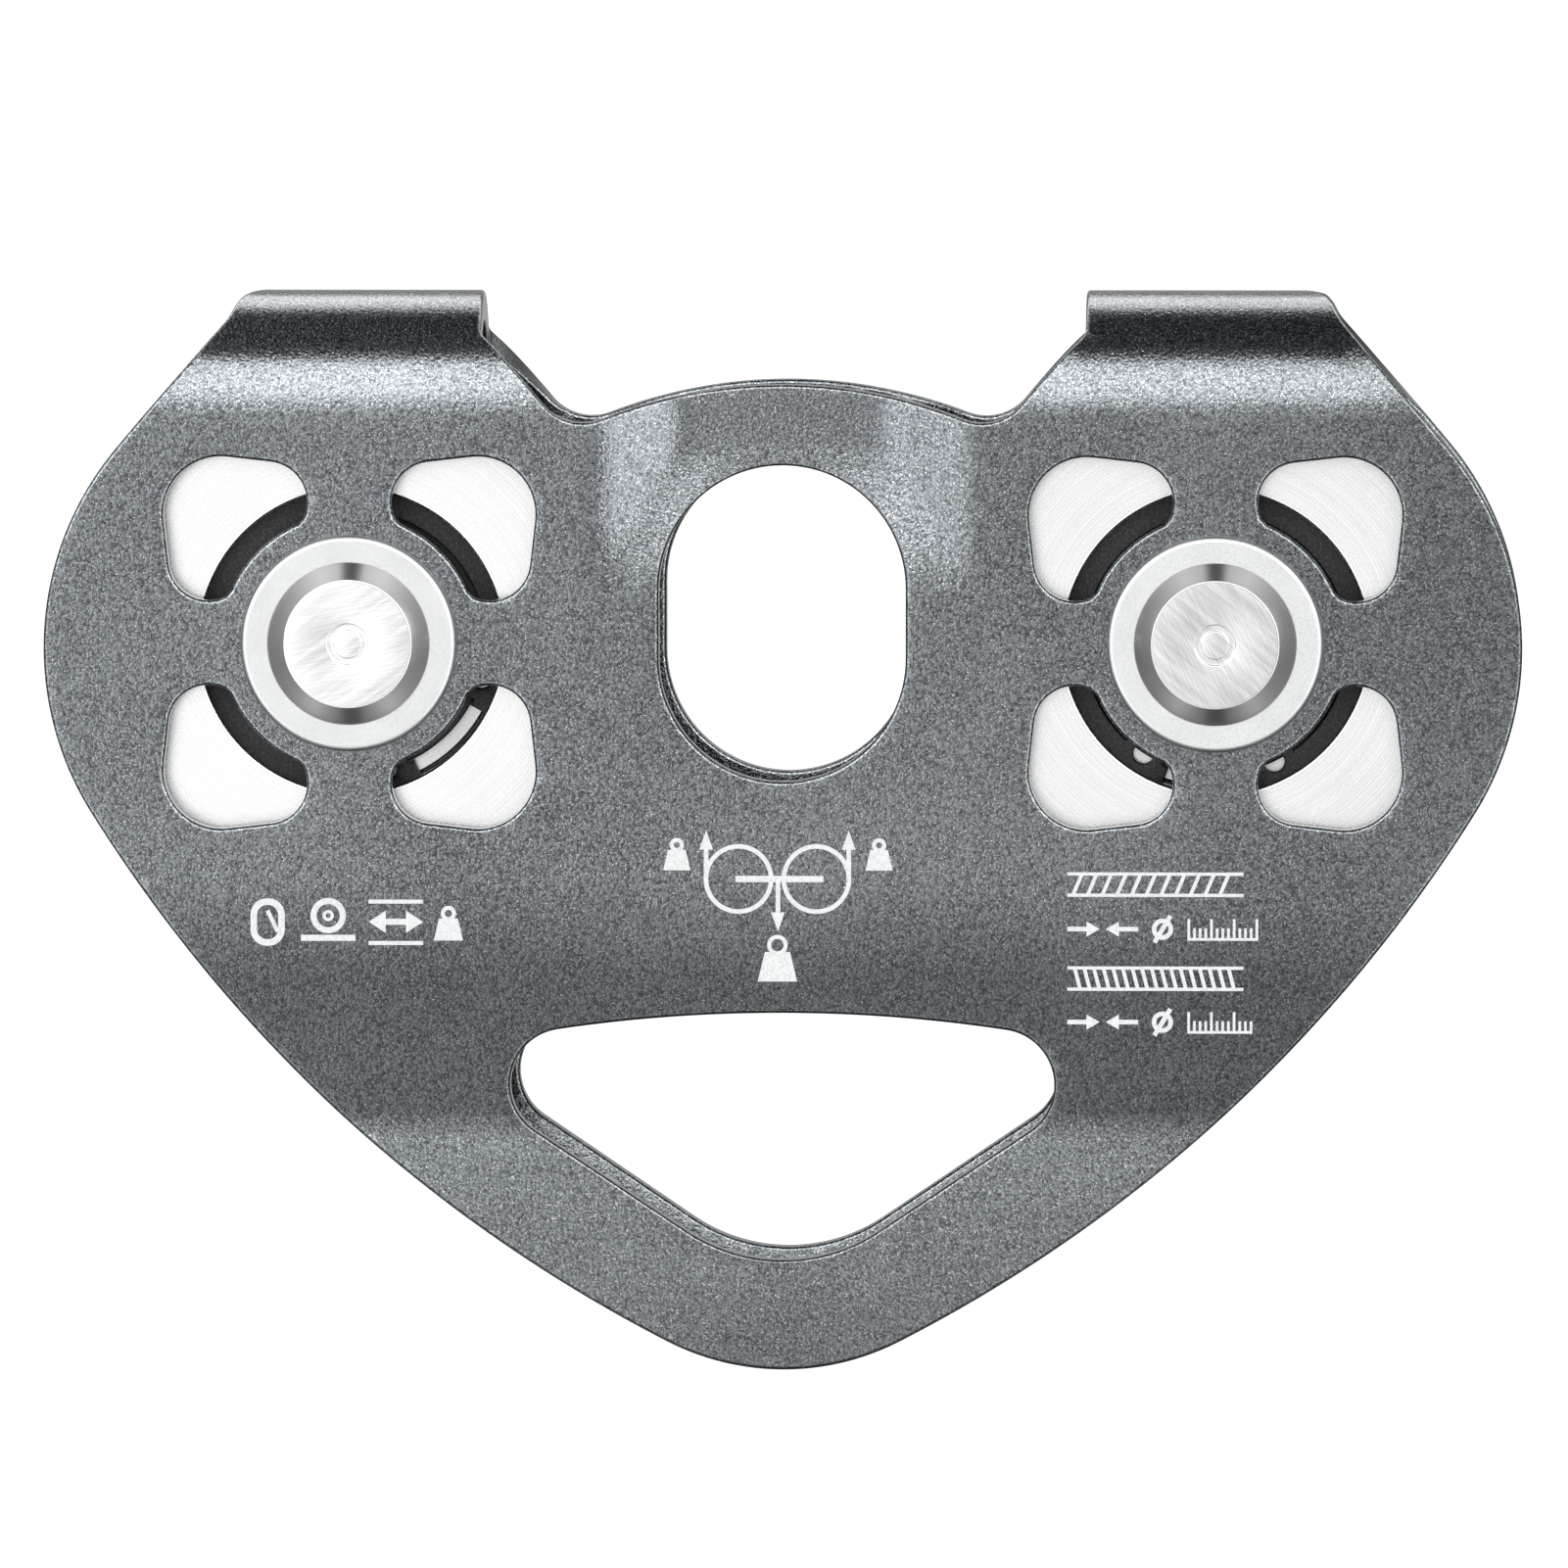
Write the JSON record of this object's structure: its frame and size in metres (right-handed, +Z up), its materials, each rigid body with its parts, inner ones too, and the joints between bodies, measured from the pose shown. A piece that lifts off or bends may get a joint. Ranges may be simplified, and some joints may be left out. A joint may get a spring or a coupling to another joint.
{
  "type": "tandem rope pulley",
  "caption": "Tandem rope pulley: two grooved ball-bearing sheaves in line inside a folded sheet body with a carabiner hole above and below the rope.",
  "frame": {"origin": "on the centreline of a 13 mm rope under the sheaves, midway between the two axles and between the side plates", "axes": "+X along the rope, +Y along the axles to the rear, +Z up towards the sheaves and the folded bridges"},
  "size_m": [0.1462, 0.0312, 0.1068],
  "materials": {
    "body_sheet": "blasted and grey anodised",
    "sheave": "turned stainless steel",
    "race": "ground bearing steel",
    "ball": "polished bearing steel",
    "cage": "moulded polyamide",
    "seal": "moulded rubber",
    "circlip": "phosphated spring steel",
    "spacer": "turned aluminium",
    "axle": "turned and brushed stainless steel",
    "washer": "tumbled stainless steel"
  },
  "bodies": {
    "body": {"side_plates": "body_sheet", "axle_left": "axle", "axle_right": "axle", "front_washer_left": "washer", "front_washer_right": "washer", "rear_washer_left": "washer", "rear_washer_right": "washer", "front_spacer_left": "spacer", "front_spacer_right": "spacer", "rear_spacer_left": "spacer", "rear_spacer_right": "spacer", "inner_race_left": "race", "inner_race_right": "race"},
    "left_wheel": {"sheave_left": "sheave", "outer_race_left": "race", "circlip_left": "circlip", "front_seal_left": "seal", "rear_seal_left": "seal"},
    "right_wheel": {"sheave_right": "sheave", "outer_race_right": "race", "circlip_right": "circlip", "front_seal_right": "seal", "rear_seal_right": "seal"},
    "left_ball_set": {"ball_cage_left": "cage", "bearing_balls_left": "ball"},
    "right_ball_set": {"ball_cage_right": "cage", "bearing_balls_right": "ball"}
  },
  "joints": [
    {"name": "left_sheave_spin", "type": "hinge", "parent": "body", "child": "left_wheel", "pos_m": [-0.0428, 0, 0.025], "axis": [0, 1, 0], "continuous": true},
    {"name": "right_sheave_spin", "type": "hinge", "parent": "body", "child": "right_wheel", "pos_m": [0.0428, 0, 0.025], "axis": [0, 1, 0], "continuous": true},
    {"name": "left_balls_spin", "type": "hinge", "parent": "body", "child": "left_ball_set", "pos_m": [-0.0428, 0, 0.025], "axis": [0, 1, 0], "continuous": true},
    {"name": "right_balls_spin", "type": "hinge", "parent": "body", "child": "right_ball_set", "pos_m": [0.0428, 0, 0.025], "axis": [0, 1, 0], "continuous": true}
  ],
  "couplings": [
    {"joint": "left_balls_spin", "follows": "left_sheave_spin", "ratio": 0.619},
    {"joint": "right_balls_spin", "follows": "right_sheave_spin", "ratio": 0.619}
  ]
}
